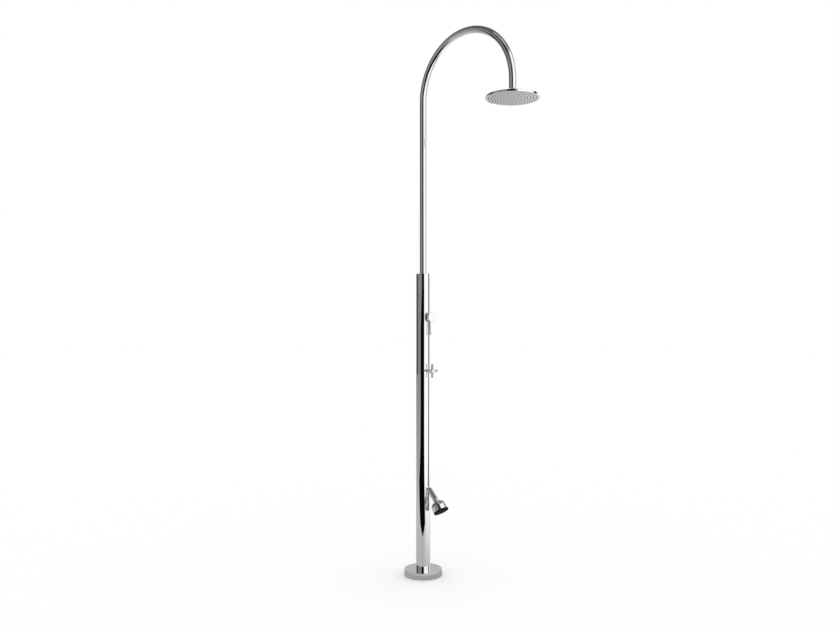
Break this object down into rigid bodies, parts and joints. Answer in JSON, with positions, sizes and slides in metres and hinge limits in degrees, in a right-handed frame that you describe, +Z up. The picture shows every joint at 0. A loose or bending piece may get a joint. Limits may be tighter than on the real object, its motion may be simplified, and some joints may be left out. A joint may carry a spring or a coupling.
{
  "type": "outdoor shower post",
  "caption": "Floor-bolted outdoor shower post: round column with lever mixer, cross-handle tap and tilting foot spray, and an arched riser with a round rain head.",
  "frame": {"origin": "centre of the base on the floor, at the underside of the floor plate and the middle of its anchor bolt circle", "axes": "+Z up along the column, -Y towards the user: the arch, the mixer, the tap and the foot spray face -Y, +X to the right as seen when facing +Y"},
  "size_m": [0.21, 0.673, 2.2843],
  "materials": {
    "chrome": "mirror polished chrome on brass and steel",
    "satin_steel": "fine satin",
    "steel_screw": "plain",
    "raw_brass": "as machined",
    "white_plastic": "moulded",
    "black_plastic": "fine matt",
    "black_nozzle": "matt",
    "grey_silicone": "matt",
    "seal_rubber": "matt",
    "ceramic": "lapped"
  },
  "bodies": {
    "post": {"floor_plate": "satin_steel", "base_cover": "satin_steel", "column_tube": "chrome", "column_cap": "chrome", "cap_seal_ring": "seal_rubber", "riser_arch_tube": "chrome", "riser_socket": "raw_brass", "riser_guide_ring": "white_plastic", "mixed_water_pipe": "raw_brass", "hot_inlet_socket": "raw_brass", "cold_inlet_socket": "raw_brass", "check_valves": "white_plastic", "inlet_bracket": "satin_steel", "hot_supply_pipe": "raw_brass", "cold_pipe_lower": "raw_brass", "cold_pipe_upper": "raw_brass", "cold_tee": "raw_brass", "foot_feed_pipe": "raw_brass", "pipe_spacers": "white_plastic", "mixer_body": "raw_brass", "mixer_sleeve": "chrome", "mixer_cartridge": "white_plastic", "tap_body": "raw_brass", "tap_bonnet": "chrome", "tap_fixed_disc": "ceramic", "foot_inlet_block": "raw_brass", "foot_elbow": "chrome", "arch_end_collar": "chrome", "head_ball_stud": "chrome"},
    "mixer_turn": {"mixer_rotor": "raw_brass", "lever_pivot_pin": "steel_screw"},
    "mixer_lever": {"lever_stem": "raw_brass", "mixer_knob": "chrome", "pin_lever": "chrome", "lever_grub_screw": "steel_screw"},
    "tap_handle": {"tap_moving_disc": "ceramic", "tap_spindle": "raw_brass", "cross_hub": "chrome", "cross_spokes": "chrome", "cross_screw": "steel_screw", "cross_cap": "chrome"},
    "head_seat": {"head_seat_ring": "white_plastic"},
    "rain_head": {"head_swivel_nut": "chrome", "head_washer": "seal_rubber", "head_shell": "chrome", "head_face_plate": "satin_steel", "nozzle_mat": "grey_silicone", "spray_nozzles": "grey_silicone"},
    "foot_seat": {"foot_seat_ring": "white_plastic"},
    "foot_spray": {"foot_bell": "chrome", "foot_retainer_ring": "white_plastic", "foot_flow_disc": "white_plastic", "foot_face_plate": "black_plastic", "foot_nozzles": "black_nozzle"}
  },
  "joints": [
    {"name": "mixer_temperature", "type": "hinge", "parent": "post", "child": "mixer_turn", "pos_m": [0, -0.04, 1.105], "axis": [0, -1, 0], "range_deg": [-45, 45]},
    {"name": "mixer_flow", "type": "hinge", "parent": "mixer_turn", "child": "mixer_lever", "pos_m": [0, -0.04, 1.105], "axis": [-1, 0, 0], "range_deg": [0, 14]},
    {"name": "tap_turn", "type": "hinge", "parent": "post", "child": "tap_handle", "pos_m": [0, -0.0557, 0.876], "axis": [0, -1, 0], "range_deg": [0, 90]},
    {"name": "head_tilt", "type": "hinge", "parent": "post", "child": "head_seat", "pos_m": [0, -0.488, 1.972], "axis": [1, 0, 0], "range_deg": [-10, 10]},
    {"name": "head_swing", "type": "hinge", "parent": "head_seat", "child": "rain_head", "pos_m": [0, -0.488, 1.972], "axis": [0, 1, 0], "range_deg": [-10, 10]},
    {"name": "foot_tilt", "type": "hinge", "parent": "post", "child": "foot_seat", "pos_m": [0, -0.08738, 0.31863], "axis": [1, 0, 0], "range_deg": [-20, 4]},
    {"name": "foot_swing", "type": "hinge", "parent": "foot_seat", "child": "foot_spray", "pos_m": [0, -0.08738, 0.31863], "axis": [0, -0.829, 0.5592], "range_deg": [-12, 12]}
  ]
}
